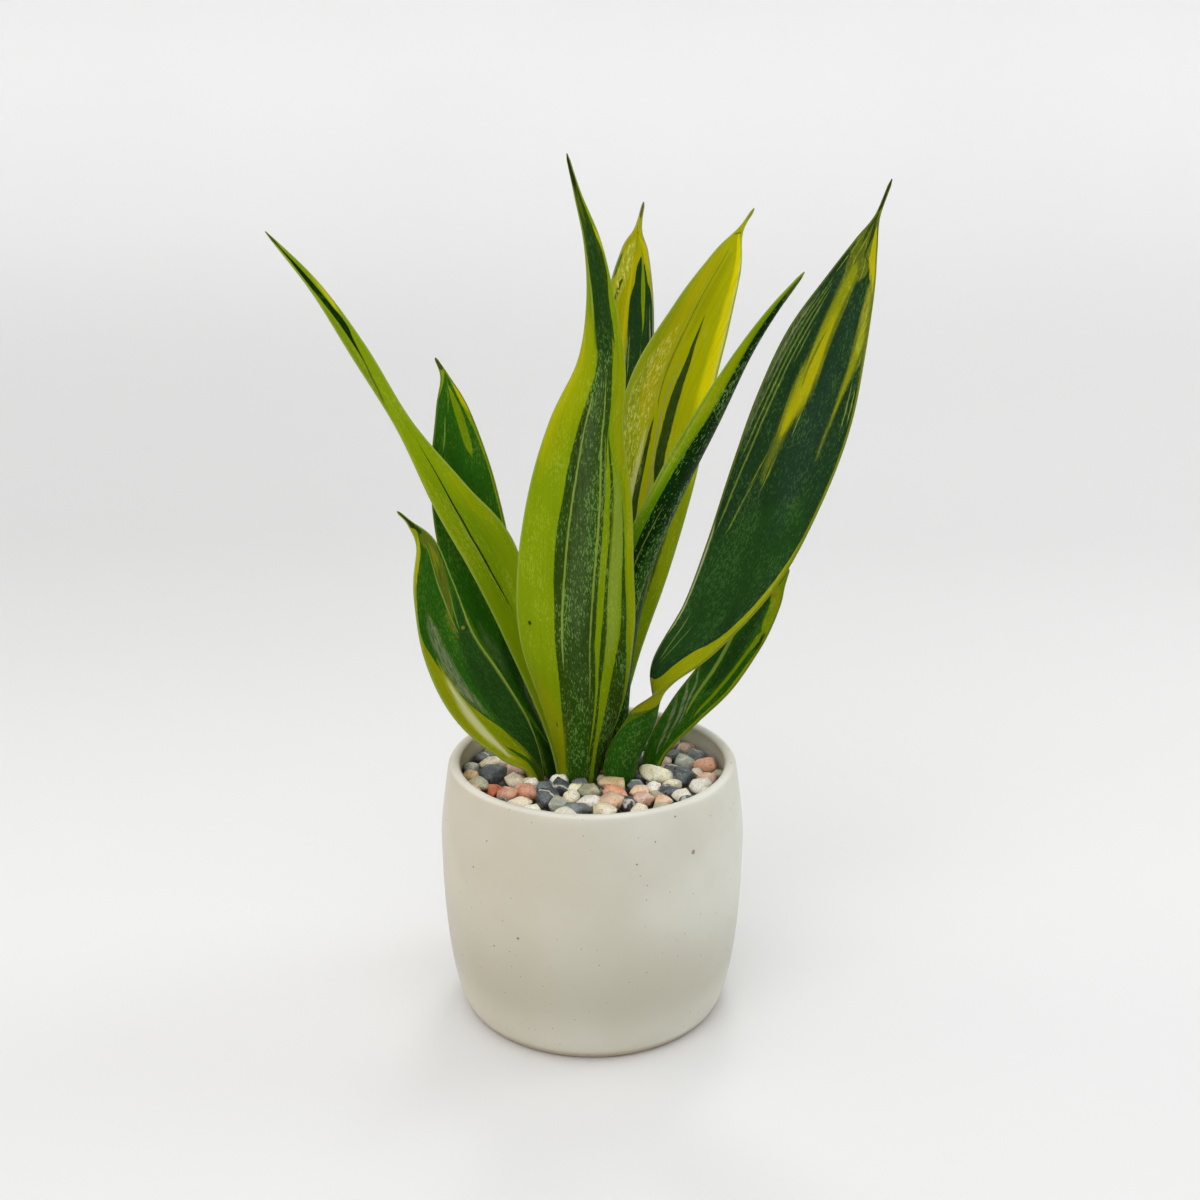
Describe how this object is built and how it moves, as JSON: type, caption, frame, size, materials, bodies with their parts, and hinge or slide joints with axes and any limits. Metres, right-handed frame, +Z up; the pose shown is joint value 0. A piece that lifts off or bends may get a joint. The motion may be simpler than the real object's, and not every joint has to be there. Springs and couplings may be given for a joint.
{
  "type": "potted golden flame snake plant",
  "caption": "Snake plant with stiff lance-shaped leaves banded in green and yellow, standing in rounded pebbles in a barrel-shaped stoneware pot.",
  "frame": {"origin": "centre of the pot's flat underside", "axes": "+Z straight up along the pot's axis; -Y towards the plant's front, where the widest leaf stands; +X to the right seen from the front"},
  "size_m": [0.2537, 0.1385, 0.3632],
  "materials": {
    "stoneware": "satin",
    "soil": "matte",
    "rhizome": "matte",
    "pebbles": "satin",
    "green_blade": "satin",
    "yellow_blade": "satin"
  },
  "bodies": {
    "root": {"pot": "stoneware", "soil": "soil", "rhizome": "rhizome", "pebble_bed": "pebbles", "leaf_left_long": "yellow_blade", "leaf_left_dark": "green_blade", "leaf_left_low": "green_blade", "leaf_front_wide": "green_blade", "leaf_back_upright": "green_blade", "leaf_back_yellow": "yellow_blade", "leaf_right_slim": "green_blade", "leaf_right_wide": "green_blade", "leaf_right_small": "green_blade"}
  },
  "joints": []
}
